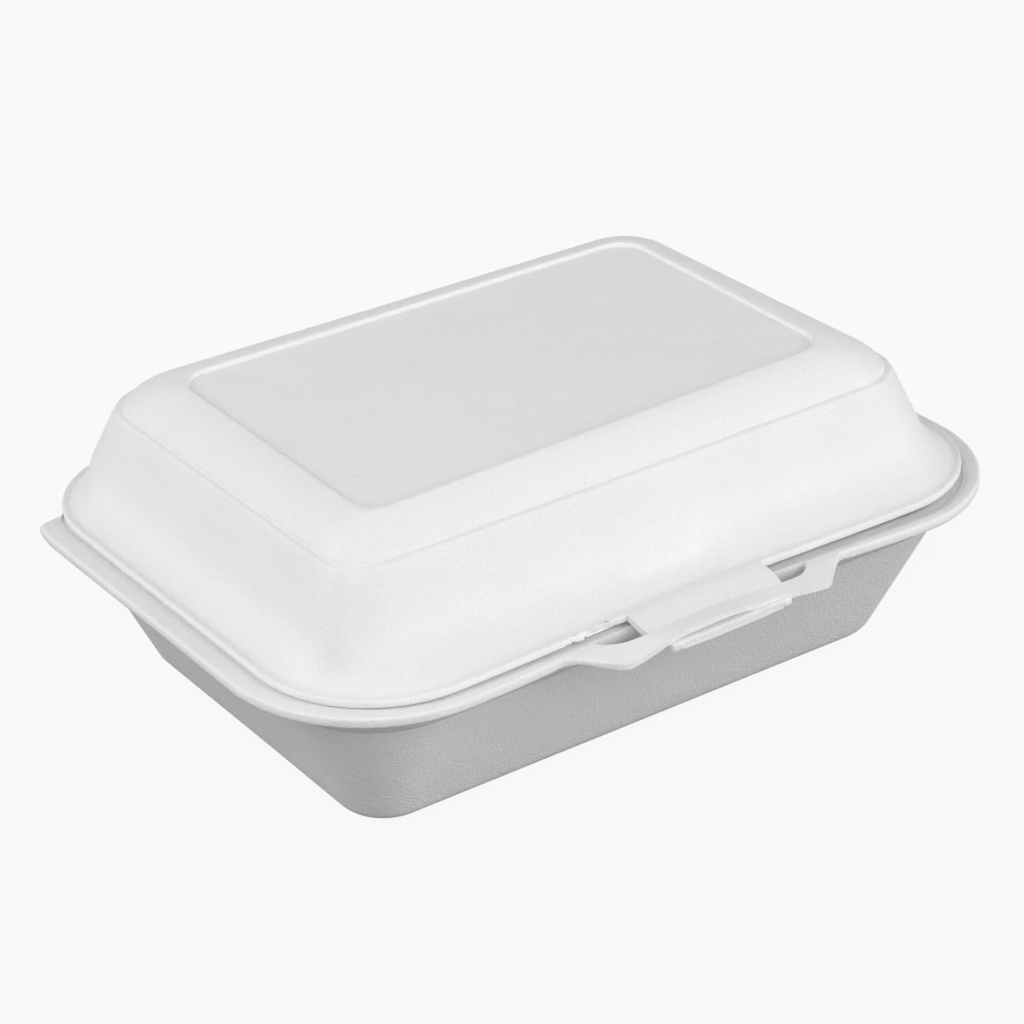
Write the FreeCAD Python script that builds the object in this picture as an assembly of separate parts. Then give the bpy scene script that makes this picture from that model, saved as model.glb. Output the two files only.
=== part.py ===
import FreeCAD, Part
import math
import os

V = FreeCAD.Vector

# Foam clamshell food box, closed and latched. Millimetres.
# Origin: middle of the flat underside. +X runs along the front, -Y is the latch side, +Z is up.

# Foam sheet
sheet = 2.2
seat_gap = 0.3
corner_least = 0.6
arc_steps = 5

# Cutting bodies: how far they reach past what they cut, and a hair's breadth
past = 1.0
tall = 10.0
hair = 0.01

# Tray rim, outer edge
tray_height = 40.1
rim_length = 185.0
rim_front = 69.0
rim_rear = 69.0
rim_corner = 33.0
rim_pull = 3.0
mouth_pull = 1.2
side_land = 3.7
front_land = 2.1
rear_land = 4.3
notch_back = 16.2
notch_run = 6.5
notch_inner = 18.0
notch_outer = 8.0
notch_slant = 4.0

# Tray walls and floor, outer faces
tray_draft = 24.9
flare_angle = 45.0
crease_height = 31.5
floor_corner = 8.2
floor_fillet = 7.2

# Lid lip, seated inside the mouth of the tray
lip_clearance = 1.2
lip_front_clearance = 2.4
lip_corner = 27.5
lip_flat = 1.7
lip_pull = 1.0

# Lid walls and top
box_height = 69.9
side_run = 28.6
front_run = 30.5
rear_run = 27.3
top_corner = 6.9
shoulder_radius = 16.9
lid_draft = 21.5
lid_corner_growth = 0.39
inset_corner = 0.3
flare_start = 49.4
foot_angle = 62.0

# Sunk panel in the lid
panel_reach = 2.2
panel_depth = 1.7
panel_slope = 0.6
panel_inset = 0.6

# Latch flap on the tray
flap_root = 71.0
flap_tip = 52.6
flap_length = 6.8
flap_sheet = 1.2
flap_droop = 0.5
flap_arch = 2.9
flap_setback = 1.8
root_grip = 2.0
arch_half = 28.0
flap_points = 17
slot_width = 54.0
slot_tuck = 0.8
slot_past = 1.2
slot_corner = 3.0

# Tongue on the lid
tongue_width = 34.6
tongue_tip = 31.0
tongue_overhang = 1.1
tongue_sheet = 1.6
tongue_flat = 0.5
tongue_drop = 2.5
tongue_level = 0.8
tongue_corner = 2.2
tongue_taper = 2.0

# Pocket pressed into the lid wall over the tongue
pocket_width = 18.0
pocket_top = 45.6
pocket_depth = 0.8
pocket_back = 6.0
pocket_lift = 0.2
pocket_left = 2.0
pocket_right = 3.0
pocket_lean = 2.2

# Derived from the sizes above
tan_tray = math.tan(math.radians(tray_draft))
tan_flare = math.tan(math.radians(flare_angle))
tan_lid = math.tan(math.radians(lid_draft))
under = tray_height - sheet
crease_out = crease_height * tan_tray
flare_out = crease_out + (under - crease_height) * tan_flare
floor_half = rim_length / 2 - side_land - flare_out
floor_front = rim_front - front_land - flare_out
floor_rear = rim_rear - rear_land - flare_out
mouth_out = flare_out + sheet * tan_flare - sheet / math.cos(math.radians(flare_angle))
lip_half = floor_half + mouth_out - lip_clearance
lip_front = floor_front + mouth_out - lip_front_clearance
hinge_y = floor_rear + mouth_out - lip_clearance
seat = tray_height - lip_clearance / tan_flare + seat_gap
lip_top = seat + sheet
crown = box_height + shoulder_radius * (1 - math.cos(math.asin(panel_reach / shoulder_radius)))
top_half = lip_half - side_run
top_front = lip_front - front_run
top_rear = hinge_y - rear_run
notch_y = hinge_y - notch_back
flap_reach = rim_front + flap_length
slot_inner = lip_front - slot_tuck
slot_outer = rim_front + slot_past
tongue_reach = flap_reach + tongue_overhang


# A ring is (half length, front, rear, corner radius, height, pull), with front and rear as distances
# from the centre line; pull bends the middle of the front edge inwards.
def ring(half, front, rear, corner, z, pull=0.0):
    return (half, front, rear, max(corner, corner_least), z, pull)


def mix(a, b, t):
    return tuple(p + (q - p) * t for p, q in zip(a, b))


def grow(r, out, z):
    return ring(r[0] + out, r[1] + out, r[2] + out, r[3] + out, z, r[5])


def at_height(r, z):
    return r[:4] + (z,) + r[5:]


def corner_arc(r, index):
    # Corners are numbered round the ring from the front right one.
    half, front, rear, radius, z, pull = r
    side = 1 if index < 2 else -1
    cy = rear - radius if index in (1, 2) else radius - front
    start = (index - 1) * math.pi / 2
    pts = [V(side * (half - radius) + radius * math.cos(a), cy + radius * math.sin(a), z)
           for a in (start, start + math.pi / 4, start + math.pi / 2)]
    return Part.Arc(*pts).toShape()


def front_edge(x0, x1, y, z, pull):
    if abs(pull) < 1e-6:
        return Part.LineSegment(V(x0, y, z), V(x1, y, z)).toShape()
    pts = []
    for i in range(9):
        s = -1 + i / 4.0
        pts.append(V(x0 + (x1 - x0) * i / 8.0, y + pull * 0.5 * (1 + math.cos(math.pi * s)), z))
    curve = Part.BSplineCurve()
    curve.interpolate(Points=pts, InitialTangent=V(1, 0, 0), FinalTangent=V(1, 0, 0))
    return curve.toShape()


def wire(r):
    half, front, rear, radius, z, pull = r
    x, yf, yr = half - radius, radius - front, rear - radius
    edges = [
        front_edge(-x, x, -front, z, pull),
        corner_arc(r, 0),
        Part.LineSegment(V(half, yf, z), V(half, yr, z)).toShape(),
        corner_arc(r, 1),
        Part.LineSegment(V(x, rear, z), V(-x, rear, z)).toShape(),
        corner_arc(r, 2),
        Part.LineSegment(V(-half, yr, z), V(-half, yf, z)).toShape(),
        corner_arc(r, 3),
    ]
    return Part.Wire(edges)


def loft(rings):
    return Part.makeLoft([wire(r) for r in rings], True, True)


def side_edge(face, arcs, at_end):
    # The edge of a corner face that runs through the same end of its lowest and highest arc.
    ends = [a.valueAt(a.LastParameter if at_end else a.FirstParameter) for a in (arcs[0], arcs[-1])]
    for edge in face.Edges:
        if all(min(v.Point.distanceToPoint(p) for v in edge.Vertexes) < 1e-4 for p in ends):
            return edge
    raise ValueError("a corner face has no edge there")


def curved_band(rings, sunk=None):
    # Corners are lofted through all the arcs, and the straight sides are ruled from corner to corner.
    # The first ring is closed flat, or sunk down to a smaller ring.
    arcs = [[corner_arc(r, k) for r in rings] for k in range(4)]
    faces = [Part.makeLoft([Part.Wire([a]) for a in row], False, False, False, 3).Faces[0] for row in arcs]
    for k in range(4):
        after = (k + 1) % 4
        sides = side_edge(faces[k], arcs[k], True), side_edge(faces[after], arcs[after], False)
        faces.append(Part.makeRuledSurface(*sides).Faces[0])
    if sunk:
        faces += Part.makeLoft([wire(rings[0]), wire(sunk)], False, True).Faces
    faces += [Part.Face(wire(sunk or rings[0])), Part.Face(wire(rings[-1]))]
    shell = Part.makeShell(faces)
    shell.sewShape()
    return Part.makeSolid(shell)


def join(solids):
    body = solids[0]
    for s in solids[1:]:
        body = body.fuse(s)
    return body.removeSplitter()


def prism(outline, z0, z1):
    pts = [V(x, y, z0) for x, y in outline]
    face = Part.Face(Part.makePolygon(pts + [pts[0]]))
    return face.extrude(V(0, 0, z1 - z0))


# Outer form of the tray: filleted floor, drafted wall and flare, with corners round about one centre.
def tray_ring(out, z):
    return ring(floor_half + out, floor_front + out, floor_rear + out, floor_corner + out, z)


def tray_form(inset):
    draft, slope = math.radians(tray_draft), math.radians(flare_angle)
    wall = inset / math.cos(draft)
    radius = floor_fillet - inset
    turn = math.pi / 2 - draft
    start = inset * tan_tray - wall - radius * math.tan(turn / 2)
    floor = []
    for i in range(arc_steps + 1):
        a = turn * i / arc_steps
        floor.append(tray_ring(start + radius * math.sin(a), inset + radius * (1 - math.cos(a))))
    # The wall's and the flare's faces are set in square to themselves, and meet a little higher.
    z = crease_height + inset * (math.tan((slope - draft) / 2) * math.cos(draft) + math.sin(draft))
    crease = tray_ring(z * tan_tray - wall, z)
    top = tray_height if inset else under
    end = crease_out + (top - crease_height) * tan_flare - inset / math.cos(slope)
    mouth = tray_ring(end, top)[:5] + (mouth_pull,)
    return [curved_band(floor), loft([floor[-1], crease]), loft([crease, mouth])], mouth


def rim_ring(z):
    return ring(rim_length / 2, rim_front, rim_rear, rim_corner, z, rim_pull)


def lip_ring(z, back=0.0):
    return ring(lip_half - back, lip_front - back, hinge_y - back, lip_corner - back, z, lip_pull)


def rear_trim():
    # Behind the notches the rim is trimmed to the lid's lip, where the hinge crease is.
    z0, z1 = crease_height - past, tray_height + tall
    edge = rim_length / 2
    block = Part.makeBox(4 * edge, 2 * edge, z1 - z0, V(-2 * edge, notch_y, z0))
    cut = block.cut(loft([lip_ring(z0 - past), lip_ring(z1 + past)]))
    for side in (-1, 1):
        outline = [(edge + past, -hair), (edge - notch_inner, -hair),
                   (edge - notch_inner, notch_run), (edge - notch_outer, notch_slant)]
        cut = cut.cut(prism([(side * x, notch_y + y) for x, y in outline], z0 - past, z1 + past))
    return cut


def flap_section(y, top, arch):
    # Arched plate section across the flap: the tongue underneath pushes its middle up.
    half = flap_root / 2 + past
    pts = []
    for i in range(flap_points):
        x = -half + 2 * half * i / (flap_points - 1)
        s = min(1.0, abs(x) / arch_half)
        pts.append(V(x, y, top + arch * 0.5 * (1 + math.cos(math.pi * s))))
    curve = Part.BSplineCurve()
    curve.interpolate(Points=pts)
    low = Part.BSplineCurve()
    low.interpolate(Points=[V(p.x, p.y, p.z - flap_sheet) for p in reversed(pts)])
    a, b = pts[0], pts[-1]
    down = V(0, 0, -flap_sheet)
    return Part.Wire([curve.toShape(), Part.LineSegment(b, b + down).toShape(),
                      low.toShape(), Part.LineSegment(a + down, a).toShape()])


def flap():
    y0 = rim_pull + root_grip - rim_front
    y1 = -(flap_reach + past)
    plate = Part.makeLoft([flap_section(y0, tray_height, 0.0),
                           flap_section(y1, tray_height - flap_droop, flap_arch)], True, True)
    root_y = flap_setback - rim_front
    outline = [(-flap_root / 2, y0), (-flap_root / 2, root_y), (-flap_tip / 2, -flap_reach),
               (flap_tip / 2, -flap_reach), (flap_root / 2, root_y), (flap_root / 2, y0)]
    plate = plate.common(prism(outline, tray_height - tall, tray_height + tall))
    return plate.cut(slot(y0 + past))


def slot(inner_y):
    half, end = slot_width / 2, slot_corner
    outline = [(-half, inner_y), (half, inner_y), (half, end - slot_outer),
               (half - end, -slot_outer), (end - half, -slot_outer), (-half, end - slot_outer)]
    return prism(outline, crease_height, tray_height + tall)


def make_tray():
    outer, outer_mouth = tray_form(0.0)
    slab = loft([rim_ring(under), rim_ring(tray_height)])
    inner, mouth = tray_form(sheet)
    opening = loft([mouth, at_height(mouth, tray_height + past)])
    body = join(outer + [slab]).cut(join(inner + [opening]))
    body = body.cut(rear_trim())
    body = body.fuse(flap()).cut(slot(-slot_inner))
    return body.removeSplitter()


# Outer form of the lid: round shoulder, drafted wall, concave flare and lip.
def top_ring(out, z, inset=0.0):
    radius = top_corner + lid_corner_growth * (out + inset) - inset_corner * inset
    return ring(top_half + out, top_front + out, top_rear + out, radius, z)


def lid_form(inset):
    turn = math.radians(90 - lid_draft)
    radius = shoulder_radius - inset
    first = math.asin((panel_reach + panel_inset * inset) / radius)
    shoulder = []
    for i in range(arc_steps + 1):
        a = first + (turn - first) * i / arc_steps
        shoulder.append(top_ring(radius * math.sin(a), crown - inset - radius * (1 - math.cos(a)), inset))
    sunk = grow(shoulder[0], -panel_slope, box_height - panel_depth - inset)
    end_out = radius * math.sin(turn)
    start = top_ring(end_out + (shoulder[-1][4] - flare_start) * tan_lid, flare_start, inset)
    # Concave flare down to the lip, blended to the lip's own outline.
    a0, a1 = math.radians(lid_draft), math.radians(foot_angle)
    foot = lip_ring(lip_top, lip_flat)[:5] + (0.0,)
    if inset:
        foot = grow(foot, -inset * math.cos(a1), lip_top - inset * math.sin(a1))
    flare = [foot]
    for i in range(1, arc_steps + 1):
        a = a1 + (a0 - a1) * i / arc_steps
        t = (math.cos(a0) - math.cos(a)) / (math.cos(a0) - math.cos(a1))
        w = (math.sin(a) - math.sin(a0)) / (math.sin(a1) - math.sin(a0))
        flare.append(at_height(mix(start, foot, t), start[4] + (foot[4] - start[4]) * w))
    return [curved_band(shoulder, sunk), loft([shoulder[-1], start]), curved_band(flare)], foot


def tongue():
    # Flat tab from the lip, down through the slot and out under the flap.
    y0, y1 = lip_pull + root_grip - lip_front, -tongue_reach
    ya, yb = -(lip_front + tongue_flat), -slot_outer
    bend = lip_top - tongue_drop
    end = bend - tongue_level
    upper = [(y0, lip_top), (ya, lip_top), (yb, bend), (y1, end)]
    lower = [(y, z - tongue_sheet) for y, z in reversed(upper)]
    side = [V(-tongue_width, y, z) for y, z in upper + lower]
    plate = Part.Face(Part.makePolygon(side + [side[0]])).extrude(V(2 * tongue_width, 0, 0))
    w, t = tongue_width / 2, tongue_tip / 2
    taper = tongue_taper - slot_outer
    outline = [(-w, y0), (-w, taper), (-t, y1), (t, y1), (w, taper), (w, y0)]
    plan = prism(outline, end - tall, lip_top + tall)
    tips = [e for e in plan.Edges if e.BoundBox.YMax < y1 + hair and e.BoundBox.XLength < hair]
    plan = plan.makeFillet(tongue_corner, tips)
    return plate.common(plan)


def pocket():
    # Shallow press mark in the wall right above the tongue, deeper towards the lip.
    half = pocket_width / 2
    foot_y = lip_flat - lip_front
    shapes = []
    for z, left, right, y in ((lip_top + pocket_lift, -half, half, foot_y + pocket_depth),
                              (pocket_top, pocket_left - half, half - pocket_right,
                               foot_y + (pocket_top - lip_top) * tan_lid * pocket_lean)):
        back = foot_y - pocket_back
        corners = [(left, back), (right, back), (right, y), (left, y), (left, back)]
        shapes.append(Part.makePolygon([V(cx, cy, z) for cx, cy in corners]))
    return Part.makeLoft(shapes, True, True)


def make_lid():
    outer, outer_foot = lid_form(0.0)
    slab = loft([lip_ring(seat), lip_ring(lip_top)])
    inner, inner_foot = lid_form(sheet)
    mouth = loft([inner_foot, at_height(inner_foot, seat - past)])
    body = join(outer + [slab]).cut(join(inner + [mouth]))
    body = body.fuse(tongue()).cut(pocket())
    return body.removeSplitter()


os.makedirs("parts", exist_ok=True)
for name, shape in (("tray", make_tray()), ("lid", make_lid())):
    box = shape.BoundBox
    print(name, "solids", len(shape.Solids), "valid", shape.isValid(), "cm3", round(shape.Volume / 1000, 2),
          [round(v, 2) for v in (box.XMin, box.XMax, box.YMin, box.YMax, box.ZMin, box.ZMax)])
    solid = shape.Solids[0] if len(shape.Solids) == 1 else shape
    solid.exportStep("parts/" + name + ".step")
print("seat height", round(seat, 3))
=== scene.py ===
import math

import bmesh
import bpy
from mathutils import Matrix, Vector, noise


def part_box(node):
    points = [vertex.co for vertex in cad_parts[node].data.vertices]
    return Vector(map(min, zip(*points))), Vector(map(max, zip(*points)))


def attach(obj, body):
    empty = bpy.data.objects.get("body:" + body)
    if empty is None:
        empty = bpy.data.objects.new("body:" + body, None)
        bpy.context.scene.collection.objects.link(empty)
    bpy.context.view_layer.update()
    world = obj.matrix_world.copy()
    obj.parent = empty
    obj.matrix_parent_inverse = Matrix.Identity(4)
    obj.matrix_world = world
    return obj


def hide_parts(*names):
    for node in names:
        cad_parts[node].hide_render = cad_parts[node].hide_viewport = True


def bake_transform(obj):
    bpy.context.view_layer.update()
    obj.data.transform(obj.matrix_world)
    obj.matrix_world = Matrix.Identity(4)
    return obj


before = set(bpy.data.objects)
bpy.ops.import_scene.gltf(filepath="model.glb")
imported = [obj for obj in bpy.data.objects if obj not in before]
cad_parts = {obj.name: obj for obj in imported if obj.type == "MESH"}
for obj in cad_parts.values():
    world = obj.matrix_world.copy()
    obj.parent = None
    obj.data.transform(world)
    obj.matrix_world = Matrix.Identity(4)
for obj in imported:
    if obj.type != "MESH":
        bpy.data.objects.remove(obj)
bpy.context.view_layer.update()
trayLow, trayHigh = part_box("tray")
lidLow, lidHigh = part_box("lid")
print("frame loaded: tray", round(trayLow.z, 4), "to", round(trayHigh.z, 4),
      "m high, lid", round(lidLow.z, 4), "to", round(lidHigh.z, 4))

mm = 0.001  # all the sizes below are millimetres, turned into metres when a mesh is made
noise.seed_set(7)  # the sheet's slow waves come out the same in every run

# Camera: the photograph's viewpoint, found from the box's own edges
cameraFit = {
    "azimuth": -35.093,
    "elevation": 28.161,
    "roll": -1.042,
    "distance": 688.84,
    "across": -0.306,
    "up": 28.526,
    "focalPixels": 3083.75,
    "imagePixels": 1024,
    "sensor": 36.0,
}


def placeCamera(fit):
    a, e, r = (math.radians(fit[k]) for k in ("azimuth", "elevation", "roll"))
    back = Vector((math.sin(a) * math.cos(e), -math.cos(a) * math.cos(e), math.sin(e)))
    right = Vector((0, 0, 1)).cross(back).normalized()
    up = back.cross(right)
    rightRolled = right * math.cos(r) + up * math.sin(r)
    upRolled = up * math.cos(r) - right * math.sin(r)
    data = bpy.data.cameras.new("camera")
    data.sensor_width = fit["sensor"]
    data.lens = fit["focalPixels"] / fit["imagePixels"] * fit["sensor"]
    data.clip_start, data.clip_end = 0.01, 20
    cam = bpy.data.objects.new("camera", data)
    bpy.context.scene.collection.objects.link(cam)
    spin = Matrix((rightRolled, upRolled, back)).transposed()
    place = rightRolled * fit["across"] + upRolled * fit["up"] + back * fit["distance"]
    cam.matrix_world = Matrix.Translation(place * mm) @ spin.to_4x4()
    bpy.context.scene.camera = cam


placeCamera(cameraFit)

# Outlines. A ring is (half length, front, rear, corner radius, height, pull): front and rear are distances
# from the centre line, and pull bows the middle of the front edge inwards.
frontSide, rightFrontCorner, rightSide, rightRearCorner = range(4)
rearSide, leftRearCorner, leftSide, leftFrontCorner = range(4, 8)


def mixRings(a, b, t):
    return tuple(p + (q - p) * t for p, q in zip(a, b))


def growRing(r, out, z):
    return (r[0] + out, r[1] + out, r[2] + out, max(r[3] + out, 0.4), z, r[5])


def liftRing(r, z):
    return r[:4] + (z,) + r[5:]


def ringPoint(r, station):
    half, front, rear, corner, z, pull = r
    side, t = station
    x, yFront, yRear = half - corner, corner - front, rear - corner
    if side == frontSide:
        return Vector((-x + 2 * x * t, -front + pull * 16 * (t * (1 - t)) ** 2, z))
    if side == rearSide:
        return Vector((x - 2 * x * t, rear, z))
    if side == rightSide:
        return Vector((half, yFront + (yRear - yFront) * t, z))
    if side == leftSide:
        return Vector((-half, yRear + (yFront - yRear) * t, z))
    turn = {rightFrontCorner: -90, rightRearCorner: 0, leftRearCorner: 90, leftFrontCorner: 180}[side]
    a = math.radians(turn + 90 * t)
    cx = x if side in (rightFrontCorner, rightRearCorner) else -x
    cy = yFront if side in (rightFrontCorner, leftFrontCorner) else yRear
    return Vector((cx + corner * math.cos(a), cy + corner * math.sin(a), z))


def spread(stops, step):
    # even points between fixed stops, so that cut-outs and tabs start on a point
    points = []
    for a, b in zip(stops, stops[1:]):
        count = max(1, round((b - a) / step))
        points += [a + (b - a) * i / count for i in range(count)]
    return points


def makeStations(frontStops, frontStep, cornerCount, rearCornerStops=(0, 1), sideCount=26, rearCount=34):
    # where the points of every ring lie: (side or corner, share along it), round from the front left
    span = frontStops[-1]
    stations = [(frontSide, (x / span + 1) / 2) for x in spread(frontStops, frontStep)]
    stations += [(rightFrontCorner, i / cornerCount) for i in range(cornerCount)]
    stations += [(rightSide, i / sideCount) for i in range(sideCount)]
    stations += [(rightRearCorner, t) for t in spread(rearCornerStops, 1 / cornerCount)]
    stations += [(rearSide, i / rearCount) for i in range(rearCount)]
    mirrored = [1 - t for t in reversed(rearCornerStops)]
    stations += [(leftRearCorner, t) for t in spread(mirrored, 1 / cornerCount)]
    stations += [(leftSide, i / sideCount) for i in range(sideCount)]
    stations += [(leftFrontCorner, i / cornerCount) for i in range(cornerCount)]
    return stations


def ease(x, low, high):
    t = min(1.0, max(0.0, (x - low) / (high - low)))
    return t * t * (3 - 2 * t)


def through(points, x):
    # smooth curve through a few (x, value) points
    if x <= points[0][0]:
        return points[0][1]
    for (x0, v0), (x1, v1) in zip(points, points[1:]):
        if x <= x1:
            return v0 + (v1 - v0) * ease(x, x0, x1)
    return points[-1][1]


# Meshes are gathered as loops of points and faces between them.
def newShell():
    return {"points": [], "faces": [], "finish": []}


def addLoop(shell, points):
    first = len(shell["points"])
    shell["points"] += points
    return list(range(first, first + len(points)))


def addFace(shell, corners, finish=0):
    if len(set(corners)) > 2:
        shell["faces"].append(corners)
        shell["finish"].append(finish)


def bridge(shell, a, b, finish=0, skip=()):
    count = len(a)
    for i in range(count):
        if i not in skip:
            j = (i + 1) % count
            addFace(shell, [a[i], a[j], b[j], b[i]], finish)


def closeLoop(shell, loop, lift=0.0, shares=(0.9, 0.72, 0.5, 0.28, 0.1)):
    # flat floor inside a loop: smaller copies of the loop, then a fan to the middle
    edge = [shell["points"][i] for i in loop]
    middle = sum(edge, Vector()) / len(edge)
    last = loop
    for share in shares:
        rise = Vector((0, 0, lift * (1 - share ** 2)))
        inner = addLoop(shell, [middle + (p - middle) * share + rise for p in edge])
        bridge(shell, last, inner)
        last = inner
    hub = addLoop(shell, [middle + Vector((0, 0, lift))])[0]
    for i, k in enumerate(last):
        addFace(shell, [k, last[(i + 1) % len(last)], hub])


def shellObject(shell, name, materials, sharpAngle=52):
    mesh = bpy.data.meshes.new(name)
    mesh.from_pydata([p * mm for p in shell["points"]], [], shell["faces"])
    mesh.polygons.foreach_set("material_index", shell["finish"])
    mesh.polygons.foreach_set("use_smooth", [True] * len(shell["faces"]))
    work = bmesh.new()
    work.from_mesh(mesh)
    bmesh.ops.remove_doubles(work, verts=work.verts, dist=0.002 * mm)
    bmesh.ops.recalc_face_normals(work, faces=work.faces)
    work.to_mesh(mesh)
    work.free()
    mesh.validate()
    mesh.set_sharp_from_angle(angle=math.radians(sharpAngle))
    for m in materials:
        mesh.materials.append(m)
    piece = bpy.data.objects.new(name, mesh)
    bpy.context.scene.collection.objects.link(piece)
    print(name, "made:", len(mesh.vertices), "points", len(mesh.polygons), "faces")
    return piece


def unevenness(p, size, amount):
    # slow waves of a thin moulded sheet, the same on both of its skins
    return noise.noise_vector(Vector(p) / size) * amount


# Tray
tray = {
    "sheet": 2.2,
    "floorLength": 135.6,
    "floorWidth": 89.6,
    "floorCorner": 9.6,
    "floorFillet": 7.2,
    "floorShift": -1.1,
    "floorRise": 0.35,
    "footGroove": 0.4,
    "draft": 24.9,
    "cornerGrowth": 0.84,
    "creaseHeight": 31.5,
    "height": 40.1,
    "rimLength": trayHigh.x / mm * 2,
    "rimFront": 69.0,
    "rimCorner": 33.0,
    "rimPull": 3.0,
    "edgeRound": 0.45,
    "mouthRound": 0.7,
    "ledge": 4.1,
    "ledgeHeight": 39.75,
    "flapRoot": 35.5,
    "flapTip": 26.3,
    "flapReach": 75.8,
    "flapSheet": 1.3,
    "flapRise": (68, 72),
    "flapThin": (67, 70),
    "slotHalf": 27.0,
    "slotOuter": 71.6,
    "slotEnd": 67.2,
    "archOuter": [(-35.5, 40.1), (-25.5, 39.2), (-10.5, 42.1), (-1.0, 42.4), (15.0, 41.1), (26.0, 40.1),
                  (35.5, 40.1)],
    "archInner": [(-27.0, 40.1), (-15.0, 41.3), (0.0, 41.6), (14.0, 41.3), (27.0, 40.1)],
    "bandInner": 66.6,
    "frontHalf": 59.5,
    "frontStep": 1.3,
    "cornerSteps": 22,
    "nickAt": -20.5,
    "nickDepth": 0.7,
    "nickWidth": 0.7,
    "waves": 0.12,
    "waveSize": 46.0,
}
hinge = {"lipLength": 174.4, "lipFront": 65.3, "line": 62.6, "lipCorner": 27.7, "lipPull": 1.2,
         "notchStart": 13.5 / 90, "notchEnd": 28.0 / 90, "cutLow": 35.8, "cutHigh": 38.9}


def lipRing(z, back=0.0):
    return (hinge["lipLength"] / 2 - back, hinge["lipFront"] - back, hinge["line"] - back,
            hinge["lipCorner"] - back, z, hinge["lipPull"])


def trayRing(out, z, inset=0.0, pull=0.0):
    t = tray
    return (t["floorLength"] / 2 + out, t["floorWidth"] / 2 - t["floorShift"] + out,
            t["floorWidth"] / 2 + t["floorShift"] + out,
            max(t["floorCorner"] + t["cornerGrowth"] * out - 0.5 * inset, 0.6), z, pull)


def traySkin(inset):
    # rings of one skin from the floor up to the flare's top
    t = tray
    draft, slope = math.radians(t["draft"]), math.radians(45)
    tanDraft = math.tan(draft)
    wall = inset / math.cos(draft)
    turn = math.pi / 2 - draft
    radius = t["floorFillet"] - inset
    start = inset * tanDraft - wall - radius * math.tan(turn / 2)
    rings = []
    steps = 10
    for i in range(steps + 1):
        a = turn * i / steps
        # a faint groove runs round the foot on the outside
        groove = t["footGroove"] * math.exp(-((i - 4.0) / 0.8) ** 2) if not inset else 0
        rings.append(trayRing(start + (radius - groove) * math.sin(a),
                              inset + radius - (radius - groove) * math.cos(a), inset))
    lift = inset * math.tan((slope - draft) / 2)
    creaseZ = t["creaseHeight"] + lift * math.cos(draft) + inset * math.sin(draft)
    creaseOut = creaseZ * tanDraft - wall
    crease = trayRing(creaseOut, creaseZ, inset, t["rimPull"] * 0.2)
    for share in (0.15, 0.3, 0.45, 0.6, 0.75, 0.9, 0.975):
        rings.append(mixRings(rings[steps], crease, share))
    under = t["height"] - t["sheet"]
    top = t["height"] if inset else under
    flareOut = t["creaseHeight"] * tanDraft + (top - t["creaseHeight"]) - inset / math.cos(slope)
    flare = trayRing(flareOut, top)
    margin = t["rimLength"] / 2 - flare[0]
    flare = flare[:3] + (t["rimCorner"] - margin, top, t["rimPull"] * 0.4)
    rings += [crease, growRing(crease, -0.2 if not inset else 0.0, creaseZ + 0.12)]
    rings += [mixRings(crease, flare, s) for s in (0.06, 0.35, 0.65)]
    return rings, flare


def rimEdge(back, z):
    t = tray
    side = t["rimFront"] - back
    return (t["rimLength"] / 2 - back, side, side, t["rimCorner"] - back, z, t["rimPull"])


def flapReachAt(x, rimY):
    # plan outline of the flap: slanted sides, straight tip, corners eased a little
    t = tray
    total = 0.0
    for k in range(-3, 4):
        u = abs(x + k * 0.2)
        if u <= t["flapTip"]:
            y = -t["flapReach"]
        elif u >= t["flapRoot"]:
            y = rimY
        else:
            slant = (u - t["flapTip"]) / (t["flapRoot"] - t["flapTip"])
            y = -t["flapReach"] + (rimY + t["flapReach"]) * slant
        total += y
    return total / 7


def slotOuterAt(x):
    t = tray
    u = abs(x) / t["slotHalf"]
    return -(t["slotOuter"] + (t["slotEnd"] - t["slotOuter"]) * min(1.0, u) ** 7)


def rimRow(p, station, row, rowCount, top, thickness):
    # moves a point of the rim's flat band onto the latch flap; row 0 is the mouth, the last the outer edge
    t = tray
    if station[0] != frontSide or abs(p.x) > t["flapRoot"] + 2:
        return p
    share = row / (rowCount - 1)
    wing = 1 - ease(abs(p.x), t["slotHalf"], t["flapRoot"] + 1)
    reach = flapReachAt(p.x, p.y if row == rowCount - 1 else -t["rimFront"] + t["rimPull"] * 0.8)
    slotY = slotOuterAt(min(abs(p.x), t["slotHalf"]))
    if row == 0:
        y = p.y
    elif row == 1:
        y = -t["bandInner"]
    elif row == 2:
        y = slotY
    else:
        y = slotY + (reach - slotY) * (row - 2) / (rowCount - 3)
    plainY = p.y
    p = p.copy()
    p.y = plainY + (y - plainY) * (1.0 if row == rowCount - 1 else wing)
    outer = through(t["archOuter"], p.x)
    inner = through(t["archInner"], p.x)
    if row <= 1:
        z = t["height"] + (inner - t["height"]) * 0.3 * row
    else:
        z = inner + (outer - inner) * (row - 2) / (rowCount - 3)
    z = t["height"] + (z - t["height"]) * max(wing, ease(-p.y, *t["flapRise"]))
    sheetHere = t["sheet"] + (thickness - t["sheet"]) * ease(-p.y, *t["flapThin"])
    p.z += (z - t["height"]) if top else (z - t["height"]) + (t["sheet"] - sheetHere)
    return p


def trimShare(station):
    # 0 where the rim is whole, 1 behind the notches where it is cut back to the hinge line
    side, t = station
    if side == rearSide:
        return 1.0
    if side == leftRearCorner:
        t = 1 - t
    elif side != rightRearCorner:
        return 0.0
    return min(1.0, max(0.0, (t - hinge["notchStart"]) / (hinge["notchEnd"] - hinge["notchStart"])))


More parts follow.
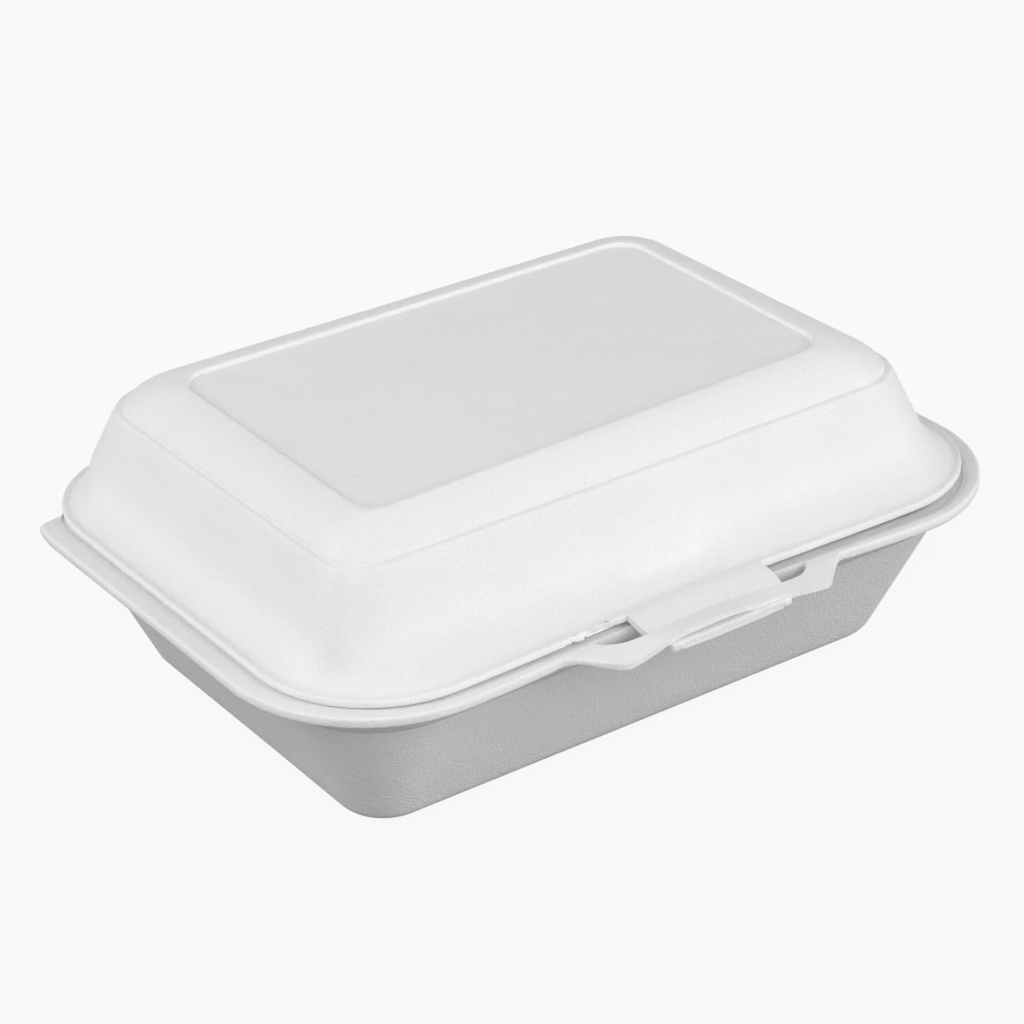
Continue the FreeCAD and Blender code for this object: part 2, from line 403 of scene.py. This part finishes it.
def makeTray(materials):
    t = tray
    ends = (lid["tongueHalf"], t["slotHalf"], t["flapRoot"], t["frontHalf"])
    stops = [-x for x in reversed(ends)] + [0] + list(ends)
    stations = makeStations(stops, t["frontStep"], t["cornerSteps"],
                            (0, hinge["notchStart"], hinge["notchEnd"], 1))
    shell = newShell()
    outer, outerFlare = traySkin(0.0)
    inner, mouth = traySkin(t["sheet"])
    under = t["height"] - t["sheet"]
    e, m = t["edgeRound"], t["mouthRound"]
    rowCount = 6

    def place(r, name):
        # name says which part of the section the ring is in
        points = []
        for s in stations:
            p = ringPoint(r, s)
            w = trimShare(s)
            kind = name[0]
            if kind == "edge" and s[0] == leftSide:
                p.x += t["nickDepth"] * math.exp(-((p.y - t["nickAt"]) / t["nickWidth"]) ** 2)
            if kind == "top" or kind == "under":
                p = rimRow(p, s, name[1], rowCount, kind == "top", t["flapSheet"])
            if kind == "edge":
                p = rimRow(p, s, rowCount - 1, rowCount, name[2] > 0.5, t["flapSheet"])
            if w > 0 and kind in ("under", "edge", "top", "mouth", "flare"):
                lip = ringPoint(lipRing(0, 0.0), s)
                level = name[2]
                cut = hinge["cutLow"] + (hinge["cutHigh"] - hinge["cutLow"]) * level
                target = Vector((lip.x, lip.y, cut))
                if kind == "flare":
                    inward = ringPoint(lipRing(0, 1.0), s) - lip
                    target = target + Vector((inward.x, inward.y, 0)) * name[1]
                    target.z -= name[1]
                p = p.lerp(target, w)
            points.append(p + unevenness(p, t["waveSize"], t["waves"]))
        return addLoop(shell, points)

    loops = []
    tags = []

    def section(r, *name):
        loops.append(place(r, name))
        tags.append(name)

    for r in outer[:-3]:
        section(r, "wall")
    for r, low in zip(outer[-3:], (4.0, 2.2, 0.8)):
        section(r, "flare", low, 0.0)
    slotLoops = {}
    for row in range(rowCount):
        share = row / (rowCount - 1)
        r = mixRings(outerFlare, rimEdge(e, under), share)
        section(r, "under", row, 0.04 + 0.2 * share)
        slotLoops["under", row] = loops[-1]
    for back, z, level in ((e * 0.3, under + e * 0.3, 0.3), (0, under + e, 0.4),
                           (0, t["height"] - e, 0.6), (e * 0.3, t["height"] - e * 0.3, 0.7)):
        section(rimEdge(back, z), "edge", 0, level)
    mouthOut = growRing(mouth, m, t["height"])
    for row in reversed(range(rowCount)):
        share = row / (rowCount - 1)
        r = mixRings(mouthOut, rimEdge(e, t["height"]), share)
        section(r, "top", row, 0.97 - 0.17 * share)
        slotLoops["top", row] = loops[-1]
    section(growRing(mouth, m * 0.3, t["height"] - m * 0.2), "mouth", 0, 0.985)
    # the lid's lip sits on a narrow ledge just inside the rim
    ledge, seat = t["ledge"], t["ledgeHeight"]
    for back, z, low in ((0.15, seat + 0.2, 0.05), (0.25, seat + 0.06, 0.12), (0.5, seat, 0.2),
                         (ledge * 0.5, seat, 0.3), (ledge - 0.4, seat - 0.02, 0.4),
                         (ledge, seat - 0.35, 0.55)):
        section(growRing(mouth, -back, z), "flare", low, 1.0)
    for r, low in zip(reversed(inner[-3:-1]), (2.2, 4.0)):
        section(r, "flare", low, 1.0)
    for r in reversed(inner[:-3]):
        section(r, "wall")

    # the latch slot is left open through the flat band
    slotFaces = [i for i, s in enumerate(stations) if s[0] == frontSide
                 and -t["slotHalf"] - 0.01 <= (2 * s[1] - 1) * t["frontHalf"] < t["slotHalf"] - 0.01]
    outside = True
    for a, b, ta, tb in zip(loops, loops[1:], tags, tags[1:]):
        inFlat = ta[0] == tb[0] and ta[0] in ("under", "top") and max(ta[1], tb[1]) <= 2
        outside = outside and ta[0] != "edge"
        finish = 1 if ta[0] == "edge" or tb[0] == "edge" else 2 if outside else 0
        bridge(shell, a, b, finish, slotFaces if inFlat else ())
    first, last = slotFaces[0], slotFaces[-1] + 1
    for i in slotFaces:
        for row in (0, 2):
            u, v = slotLoops["under", row], slotLoops["top", row]
            addFace(shell, [u[i], u[i + 1], v[i + 1], v[i]], 1)
    for i in (first, last):
        for row in (0, 1):
            u, v = slotLoops["under", row], slotLoops["top", row]
            u2, v2 = slotLoops["under", row + 1], slotLoops["top", row + 1]
            addFace(shell, [u[i], v[i], v2[i], u2[i]], 1)
    closeLoop(shell, loops[0], t["floorRise"])
    closeLoop(shell, loops[-1], t["floorRise"])
    piece = shellObject(shell, "foamTray", materials)
    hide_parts("tray")
    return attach(piece, "tray")


# Lid
lid = {
    "sheet": 2.2,
    "height": 70.0,
    "topLength": 116.2,
    "topWidth": 68.4,
    "topCorner": 6.9,
    "topShift": 1.1,
    "shoulder": 16.9,
    "draft": 21.5,
    "cornerGrowth": 0.39,
    "beadAngle": 58.0,
    "beadStep": 0.65,
    "beadGroove": 0.2,
    "flareStart": 49.4,
    "lipFlat": 1.7,
    "lipLow": 39.85,
    "lipSheet": 1.65,
    "footAngle": 62.0,
    "panelLength": 121.4,
    "panelFront": 37.3,
    "panelRear": 36.1,
    "panelShift": -0.8,
    "panelCorner": 6.8,
    "panelDepth": 1.7,
    "panelSlope": 0.35,
    "panelCrest": 0.75,
    "panelSkew": ((-0.7, -2.6), (-2.6, 1.0), (0.3, -0.8), (-0.5, 0.0)),
    "nearCorner": 3.3,
    "nearCornerRise": (42, 50),
    "tongueHalf": 17.3,
    "tongueTip": 15.5,
    "tongueReach": 76.9,
    "tongueSheet": 1.95,
    "tongueDrop": 1.5,
    "tongueCorner": 1.2,
    "pocketHalf": 9.0,
    "pocketTop": 46.0,
    "pocketDepth": 0.8,
    "tearFrom": -34.0,
    "tearTo": -19.0,
    "tearDepth": 0.7,
    "tilt": 1.9,
    "tiltHalf": 84,
    "tiltFront": 60,
    "frontHalf": 59.2,
    "frontStep": 1.15,
    "cornerSteps": 24,
    "waves": 0.12,
    "waveSize": 42.0,
}


def topRing(out, z, inset=0.0):
    k = lid
    corner = max(k["topCorner"] + k["cornerGrowth"] * (out + inset) - 0.3 * inset, 0.6)
    return (k["topLength"] / 2 + out, k["topWidth"] / 2 - k["topShift"] + out,
            k["topWidth"] / 2 + k["topShift"] + out, corner, z, 0.0)


def panelRing(out, z):
    k = lid
    return (k["panelLength"] / 2 + out, k["panelFront"] + out, k["panelRear"] + out,
            k["panelCorner"] + out, z, 0.0)


def lidSkin(inset):
    # rings of one skin from the panel's edge down to the lip, and how far each follows the panel's outline
    k = lid
    draft = math.radians(k["draft"])
    turn = math.pi / 2 - draft
    radius = k["shoulder"] - inset
    floorZ = k["height"] - k["panelDepth"] - inset
    edge = 0.6 * inset
    rings = [panelRing(edge - k["panelSlope"] + out, floorZ + rise)
             for out, rise in ((-1.2, 0), (-0.35, 0.02), (-0.1, 0.08), (0.03, 0.25))]
    crest = panelRing(edge + 0.2, k["height"] - inset - k["panelCrest"])
    rings += [panelRing(edge - 0.08, crest[4] - 0.22), panelRing(edge + 0.02, crest[4] - 0.06), crest]
    first = math.asin((k["panelLength"] / 2 - k["topLength"] / 2 + 0.7 + edge) / radius)
    middle = k["height"] - inset - radius  # height of the shoulder's centre
    firstRound = topRing(radius * math.sin(first), middle + radius * math.cos(first), inset)
    bead = math.radians(k["beadAngle"])
    stops = spread([first + 0.06, bead - 0.08, bead + 0.08, turn], 0.06)
    stops = sorted(stops + [bead + s * 0.0125 for s in range(-5, 6)] + [turn])
    shares = [None] * len(rings)
    for a in stops:
        away = (a - bead) * radius
        step = k["beadStep"] * (ease(away, -0.3, 0.8) - 0.5)
        groove = k["beadGroove"] * math.exp(-((away + 0.35) / 0.45) ** 2)
        r = radius + (step - groove) * ease(a, first, first + 0.5)
        rings.append(topRing(r * math.sin(a), middle + r * math.cos(a), inset))
        shares.append(max(0.0, (bead - 0.07 - a) / (bead - 0.07 - first)) ** 2)
    last = radius + k["beadStep"] / 2
    fall = middle + last * math.cos(turn) - k["flareStart"]
    start = topRing(last * math.sin(turn) + fall * math.tan(draft), k["flareStart"], inset)
    rings += [mixRings(rings[-1], start, s) for s in (0.3, 0.65)]
    rings.append(start)
    lipTop = k["lipLow"] + k["lipSheet"]
    a1 = math.radians(k["footAngle"])
    foot = lipRing(lipTop, k["lipFlat"])
    if inset:
        foot = growRing(foot, -inset * math.cos(a1), lipTop - inset * math.sin(a1))
    steps = 12
    for i in range(1, steps + 1):
        a = draft + (a1 - draft) * i / steps
        across = (math.cos(draft) - math.cos(a)) / (math.cos(draft) - math.cos(a1))
        down = (math.sin(a) - math.sin(draft)) / (math.sin(a1) - math.sin(draft))
        r = mixRings(start, foot, across)
        rings.append(liftRing(r, start[4] + (foot[4] - start[4]) * down))
    shares += [0.0] * (len(rings) - len(shares))
    return rings, foot, shares, crest, firstRound


def skewPanel(p):
    # the sunk panel is not quite square to the box: one small shift for each of its corners
    k = lid
    u = min(1.0, max(0.0, (p.x + k["panelLength"] / 2) / k["panelLength"]))
    v = min(1.0, max(0.0, (p.y + k["panelFront"]) / (k["panelFront"] + k["panelRear"])))
    nearLeft, nearRight, farLeft, farRight = (Vector(c + (0,)) for c in k["panelSkew"])
    shift = nearLeft.lerp(nearRight, u).lerp(farLeft.lerp(farRight, u), v)
    return p + shift + Vector((k["panelShift"], 0, 0))


def lidPoint(r, station, share, crest, firstRound):
    # share is None on the panel, and elsewhere how much of the panel's own outline the ring still follows
    p = ringPoint(r, station)
    if share is None:
        return skewPanel(p)
    if station[0] == leftFrontCorner:
        half, front, corner = r[0], r[1], r[3]
        centre = Vector((corner - half, corner - front, r[4]))
        power = 2 + (lid["nearCorner"] - 2) * ease(r[4], *lid["nearCornerRise"])
        a = math.radians(180 + 90 * station[1])
        p = centre + (p - centre) * (abs(math.cos(a)) ** power + abs(math.sin(a)) ** power) ** (-1 / power)
    if share:
        p += (skewPanel(ringPoint(crest, station)) - ringPoint(firstRound, station)) * share
    return p


def lidTilt(x, y):
    # the lid sits down at the hinge and on the left, and its front right corner stands a little proud
    toRight = min(1.0, max(0.0, (x + lid["tiltHalf"]) / (2 * lid["tiltHalf"]))) ** 1.2
    return lid["tilt"] * toRight * min(1.0, (hinge["line"] - y) / (hinge["line"] + lid["tiltFront"]))


def lidPlace(p, station, skin):
    # small shapes of the real lid: tilt, press mark over the tongue, torn lip beside it
    k = lid
    p = p.copy()
    if station[0] == frontSide:
        half = k["pocketHalf"]
        inWidth = ease(p.x, -half - 2.5, -half + 0.5) * (1 - ease(p.x, half - 1.0, half + 3.0))
        low = k["lipLow"] + k["lipSheet"]
        inHeight = ease(p.z, low - 1.5, low + 1.2) * (1 - ease(p.z, k["pocketTop"] - 2.2, k["pocketTop"]))
        if skin != "edge" and p.y < -50:
            push = k["pocketDepth"] * inWidth * inHeight
            p.y += push
            p.z -= push * 0.35
        if skin == "edge" and k["tearFrom"] < p.x < k["tearTo"]:
            bite = noise.noise(Vector((p.x * 0.9, p.z * 0.5, 3.7)))
            fade = ease(p.x, k["tearFrom"], k["tearFrom"] + 4)
            fade *= 1 - ease(p.x, k["tearTo"] - 2, k["tearTo"])
            p.y += k["tearDepth"] * fade * (0.5 + bite * 1.6)
            p.z += 0.45 * fade * bite
    p.z += lidTilt(p.x, p.y)
    return p + unevenness(p, k["waveSize"], k["waves"])


def makeLid(materials):
    k = lid
    span = k["frontHalf"]
    # the stops at -7, 7 and 30 only keep the spacing even
    stops = [-span, k["tearFrom"], k["tearTo"], -k["tongueHalf"], -7, 7, k["tongueHalf"], 30, span]
    stations = makeStations(stops, k["frontStep"], k["cornerSteps"])
    shell = newShell()
    outer, foot, outerShares, *outerCrest = lidSkin(0.0)
    inner, innerFoot, innerShares, *innerCrest = lidSkin(k["sheet"])
    low, high = k["lipLow"], k["lipLow"] + k["lipSheet"]
    loops = []
    tags = []

    def section(r, skin, share=0.0, crest=(None, None)):
        points = [lidPlace(lidPoint(r, s, share, *crest), s, skin) for s in stations]
        loops.append(addLoop(shell, points))
        tags.append(skin)

    for r, share in zip(outer, outerShares):
        section(r, "skin", share, outerCrest)
    section(lipRing(high + 0.02, k["lipFlat"] - 0.35), "lip")
    section(lipRing(high, 0.9), "lip")
    section(lipRing(high, 0.45), "tabTop")
    for back, z in ((0.12, high - 0.12), (0, high - 0.45), (0, (low + high) / 2), (0, low + 0.35),
                    (0.12, low + 0.1)):
        section(lipRing(z, back), "edge")
    section(lipRing(low, 0.45), "tabLow")
    section(lipRing(low, 1.2), "lip")
    section(growRing(innerFoot, 0.2, low), "lip")
    for r, share in reversed(list(zip(inner, innerShares))):
        section(r, "skin", share, innerCrest)

    tab = [i for i, s in enumerate(stations) if s[0] == frontSide
           and -k["tongueHalf"] - 0.01 <= (2 * s[1] - 1) * span < k["tongueHalf"] - 0.01]
    for a, b, ta, tb in zip(loops, loops[1:], tags, tags[1:]):
        edge = ta == "edge" or tb == "edge"
        bridge(shell, a, b, 1 if edge else 0, tab if edge else ())
    closeLoop(shell, loops[0], 0.0)
    closeLoop(shell, loops[-1], 0.0)

    # tongue: rows from the lip's edge out to the tip
    topLoop, lowLoop = loops[tags.index("tabTop")], loops[tags.index("tabLow")]
    ends = tab + [tab[-1] + 1]
    rows = [0.03, 0.1, 0.2, 0.32, 0.45, 0.58, 0.7, 0.8, 0.86, 0.91, 0.95, 0.98, 0.995, 1.0]
    lastTop, lastLow = [topLoop[i] for i in ends], [lowLoop[i] for i in ends]
    for share in rows:
        tops, lows = [], []
        for i in ends:
            rootTop, rootLow = shell["points"][topLoop[i]], shell["points"][lowLoop[i]]
            u = (2 * stations[i][1] - 1) * span / k["tongueHalf"]
            half = k["tongueHalf"] + (k["tongueTip"] - k["tongueHalf"]) * ease(share, 0.35, 1.0)
            short = (1 - share) * (k["tongueReach"] + rootTop.y)
            if short < k["tongueCorner"]:
                d = 1 - short / k["tongueCorner"]
                half -= k["tongueCorner"] * (1 - math.sqrt(max(0.0, 1 - d * d)))
            x = u * half
            y = rootTop.y + (-k["tongueReach"] - rootTop.y) * share
            drop = k["tongueDrop"] * ease(share, 0.0, 0.85) + 0.3 * share
            z = rootTop.z - drop
            root = rootTop.z - rootLow.z
            thick = root + (k["tongueSheet"] - root) * ease(share, 0.0, 0.5)
            soft = 0.25 * (ease(abs(u), 0.93, 1.0) + ease(share, 0.97, 1.0))
            tops.append(Vector((x, y, z - soft)))
            lows.append(Vector((x, y, z - thick + soft * 0.6)))
        newTop, newLow = addLoop(shell, tops), addLoop(shell, lows)
        for a in range(len(ends) - 1):
            addFace(shell, [lastTop[a], lastTop[a + 1], newTop[a + 1], newTop[a]], 0)
            addFace(shell, [lastLow[a], newLow[a], newLow[a + 1], lastLow[a + 1]], 0)
        for a in (0, len(ends) - 1):
            addFace(shell, [lastTop[a], newTop[a], newLow[a], lastLow[a]], 1)
        lastTop, lastLow = newTop, newLow
    for a in range(len(ends) - 1):
        addFace(shell, [lastTop[a], lastTop[a + 1], lastLow[a + 1], lastLow[a]], 1)
    # the lip's own cut edge ends at the tongue's sides
    edgeLoops = [loops[i] for i, tag in enumerate(tags) if tag in ("tabTop", "edge", "tabLow")]
    for i in (ends[0], ends[-1]):
        addFace(shell, [loop[i] for loop in edgeLoops], 1)
    piece = shellObject(shell, "foamLid", materials)
    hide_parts("lid")
    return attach(piece, "lid")


# Hinge: the pressed line at the back, a thin web that both halves share
web = {"half": 57.0, "low": 37.4, "high": 40.6, "bulge": 0.75, "sheet": 0.35, "columns": 60, "rows": 12,
       "ridge": 0.12}


def makeHingeWeb(materials):
    w = web
    work = bmesh.new()
    grids = []
    for skin in (0.0, w["sheet"]):
        grid = []
        for c in range(w["columns"] + 1):
            x = -w["half"] + 2 * w["half"] * c / w["columns"]
            fade = 1 - ease(abs(x), w["half"] - 4, w["half"])
            column = []
            for r in range(w["rows"] + 1):
                s = r / w["rows"]
                z = w["low"] + (w["high"] - w["low"]) * s + lidTilt(x, hinge["line"])
                wave = w["ridge"] * noise.noise(Vector((x / 3.0, s * 2, 0.5)))
                bow = (w["bulge"] + wave) * math.sin(math.pi * s) * (0.35 + 0.65 * fade)
                y = hinge["line"] - skin - 0.05 + bow
                column.append(work.verts.new(Vector((x, y, z)) * mm))
            grid.append(column)
        grids.append(grid)
    front, back = grids
    for c in range(w["columns"]):
        for r in range(w["rows"]):
            work.faces.new([front[c][r], front[c + 1][r], front[c + 1][r + 1], front[c][r + 1]])
            work.faces.new([back[c][r], back[c][r + 1], back[c + 1][r + 1], back[c + 1][r]])
    for c in range(w["columns"]):
        for r in (0, w["rows"]):
            work.faces.new([front[c][r], back[c][r], back[c + 1][r], front[c + 1][r]])
    for r in range(w["rows"]):
        for c in (0, w["columns"]):
            work.faces.new([front[c][r], front[c][r + 1], back[c][r + 1], back[c][r]])
    bmesh.ops.recalc_face_normals(work, faces=work.faces)
    mesh = bpy.data.meshes.new("hingeWeb")
    work.to_mesh(mesh)
    work.free()
    mesh.polygons.foreach_set("use_smooth", [True] * len(mesh.polygons))
    for m in materials:
        mesh.materials.append(m)
    piece = bpy.data.objects.new("hingeWeb", mesh)
    bpy.context.scene.collection.objects.link(piece)
    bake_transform(piece)
    return piece


# Foam finish: satin skin over fine cells on the lid and inside, matte on the tray's outside, whose colour
# is also a touch darker as painted shade
foam = {
    "skinColour": (0.875, 0.875, 0.87),
    "cutColour": (0.9, 0.9, 0.895),
    "shadeChange": 0.022,
    "speck": 0.94,
    # the tray's outside colour is a touch darker than the skin's: painted shade, not the foam's own tone
    "matteShadedColour": (0.865, 0.865, 0.86),
    "roughness": 0.38,
    "matteRoughness": 0.78,
    "cutRoughness": 0.7,
    "cells": 1500.0,
    "grain": 2300.0,
    "cloud": 55.0,
    "cellDepth": 0.00007,
    "grainDepth": 0.00003,
    "waveDepth": 0.00025,
    "seeThrough": 0.12,
    "shine": 0.35,
}


def foamMaterial(name, colour, roughness, cellGain):
    f = foam
    made = bpy.data.materials.new(name)
    made.use_nodes = True
    nodes, links = made.node_tree.nodes, made.node_tree.links
    shader = nodes["Principled BSDF"]
    place = nodes.new("ShaderNodeTexCoord")

    def noiseNode(scale, detail):
        n = nodes.new("ShaderNodeTexNoise")
        n.inputs["Scale"].default_value = scale
        n.inputs["Detail"].default_value = detail
        n.inputs["Roughness"].default_value = 0.5
        links.new(place.outputs["Object"], n.inputs["Vector"])
        return n

    cloud = noiseNode(f["cloud"], 3)
    grain = noiseNode(f["grain"], 2)
    wave = noiseNode(f["cloud"] * 2.4, 2)
    cells = nodes.new("ShaderNodeTexVoronoi")
    cells.inputs["Scale"].default_value = f["cells"]
    links.new(place.outputs["Object"], cells.inputs["Vector"])

    ramp = nodes.new("ShaderNodeValToRGB")
    dark = tuple(c * (1 - f["shadeChange"]) for c in colour)
    ramp.color_ramp.elements[0].position, ramp.color_ramp.elements[1].position = 0.3, 0.7
    ramp.color_ramp.elements[0].color = dark + (1,)
    ramp.color_ramp.elements[1].color = colour + (1,)
    links.new(cloud.outputs["Fac"], ramp.inputs["Fac"])
    speck = nodes.new("ShaderNodeMapRange")
    speck.inputs["From Min"].default_value = 0.3
    speck.inputs["From Max"].default_value = 0.7
    speck.inputs["To Min"].default_value = f["speck"]
    speck.inputs["To Max"].default_value = 1.0
    links.new(grain.outputs["Fac"], speck.inputs["Value"])
    tint = nodes.new("ShaderNodeMix")
    tint.data_type = "RGBA"
    tint.blend_type = "MULTIPLY"
    tint.inputs["Factor"].default_value = 1.0
    links.new(ramp.outputs["Color"], tint.inputs[6])
    links.new(speck.outputs["Result"], tint.inputs[7])
    links.new(tint.outputs[2], shader.inputs["Base Color"])

    gloss = nodes.new("ShaderNodeMapRange")
    gloss.inputs["To Min"].default_value = roughness - 0.05
    gloss.inputs["To Max"].default_value = roughness + 0.07
    links.new(grain.outputs["Fac"], gloss.inputs["Value"])
    links.new(gloss.outputs["Result"], shader.inputs["Roughness"])

    normal = None
    for height, depth in ((wave.outputs["Fac"], f["waveDepth"]),
                          (cells.outputs["Distance"], f["cellDepth"] * cellGain),
                          (grain.outputs["Fac"], f["grainDepth"] * cellGain)):
        bump = nodes.new("ShaderNodeBump")
        bump.inputs["Strength"].default_value = 1.0
        bump.inputs["Distance"].default_value = depth
        links.new(height, bump.inputs["Height"])
        if normal:
            links.new(normal, bump.inputs["Normal"])
        normal = bump.outputs["Normal"]
    links.new(normal, shader.inputs["Normal"])
    shader.inputs["IOR"].default_value = 1.45
    shader.inputs["Specular IOR Level"].default_value = f["shine"]
    # thin foam lets a little light through
    translucent = nodes.new("ShaderNodeBsdfTranslucent")
    links.new(tint.outputs[2], translucent.inputs["Color"])
    links.new(normal, translucent.inputs["Normal"])
    both = nodes.new("ShaderNodeMixShader")
    both.inputs[0].default_value = f["seeThrough"]
    links.new(shader.outputs[0], both.inputs[1])
    links.new(translucent.outputs[0], both.inputs[2])
    links.new(both.outputs[0], nodes["Material Output"].inputs[0])
    return made


skin = foamMaterial("foamSkin", foam["skinColour"], foam["roughness"], 1.0)
cutEdge = foamMaterial("foamCutEdge", foam["cutColour"], foam["cutRoughness"], 1.2)
# matte roughness on the tray's outside, with a darker colour that is painted shade
matteShadedSkin = foamMaterial("foamMatteShadedSkin", foam["matteShadedColour"], foam["matteRoughness"], 1.5)
makeTray([skin, cutEdge, matteShadedSkin])
makeLid([skin, cutEdge])
makeHingeWeb([skin])
print("foam halves and hinge web in place")

# Studio
studio = {
    "floorColour": (0.2, 0.2, 0.2),
    "backdrop": 1.11,
    "backdropShare": 0.82,
    "floorSize": 6.0,
    "world": 0.18,
    "sky": 0.94,
    "lampSize": 0.8,
    "lampDistance": 1.1,
    "lampAim": (0, 0, 0.04),
    "lamps": [
        # name, degrees round from the front, degrees up, watts
        ("frontLeft", -35, 30, 5.3),
        ("frontRight", 35, 20, 6.3),
        ("right", 56, 42, 2.0),
        ("leftRear", -118, 33, 7.6),
    ],
}


def paleWhereSeen(tree):
    # 1 for what the camera, a sheen or a clear surface looks at, 0 for light that falls on the box
    nodes, links = tree.nodes, tree.links
    path = nodes.new("ShaderNodeLightPath")
    seen = path.outputs["Is Camera Ray"]
    for more in ("Is Glossy Ray", "Is Transmission Ray"):
        add = nodes.new("ShaderNodeMath")
        add.operation = "MAXIMUM"
        links.new(seen, add.inputs[0])
        links.new(path.outputs[more], add.inputs[1])
        seen = add.outputs[0]
    return seen


def makeStage(s):
    bpy.ops.mesh.primitive_plane_add(size=s["floorSize"], location=(0, 0, trayLow.z - 0.0001))
    floor = bpy.context.object
    floor.name = "floor"
    paint = bpy.data.materials.new("paleFloor")
    paint.use_nodes = True
    nodes, links = paint.node_tree.nodes, paint.node_tree.links
    base = nodes["Principled BSDF"]
    base.inputs["Base Color"].default_value = s["floorColour"] + (1,)
    base.inputs["Roughness"].default_value = 0.9
    glow = nodes.new("ShaderNodeEmission")
    glow.inputs["Strength"].default_value = s["backdrop"]
    share = nodes.new("ShaderNodeMath")
    share.operation = "MULTIPLY"
    share.inputs[1].default_value = s["backdropShare"]
    links.new(paleWhereSeen(paint.node_tree), share.inputs[0])
    blend = nodes.new("ShaderNodeMixShader")
    links.new(share.outputs[0], blend.inputs[0])
    links.new(base.outputs[0], blend.inputs[1])
    links.new(glow.outputs[0], blend.inputs[2])
    links.new(blend.outputs[0], nodes["Material Output"].inputs[0])
    floor.data.materials.append(paint)

    world = bpy.data.worlds.new("studio")
    bpy.context.scene.world = world
    world.use_nodes = True
    nodes, links = world.node_tree.nodes, world.node_tree.links
    sky = nodes["Background"]
    sky.inputs["Color"].default_value = (1, 1, 1, 1)
    sky.inputs["Strength"].default_value = s["world"]
    seen = nodes.new("ShaderNodeBackground")
    seen.inputs["Color"].default_value = (1, 1, 1, 1)
    seen.inputs["Strength"].default_value = s["sky"]
    blend = nodes.new("ShaderNodeMixShader")
    links.new(paleWhereSeen(world.node_tree), blend.inputs[0])
    links.new(sky.outputs[0], blend.inputs[1])
    links.new(seen.outputs[0], blend.inputs[2])
    links.new(blend.outputs[0], nodes["World Output"].inputs[0])

    aim = Vector(s["lampAim"])
    for name, around, up, watts in s["lamps"]:
        a, e = math.radians(around), math.radians(up)
        away = Vector((math.sin(a) * math.cos(e), -math.cos(a) * math.cos(e), math.sin(e)))
        data = bpy.data.lights.new(name, "AREA")
        data.shape = "SQUARE"
        data.size = s["lampSize"]
        data.energy = watts
        lamp = bpy.data.objects.new(name, data)
        lamp.location = aim + away * s["lampDistance"]
        lamp.rotation_mode = "QUATERNION"
        lamp.rotation_quaternion = away.to_track_quat("Z", "Y")
        bpy.context.scene.collection.objects.link(lamp)


makeStage(studio)
bpy.context.scene.view_settings.view_transform = "Standard"
print("studio lit")
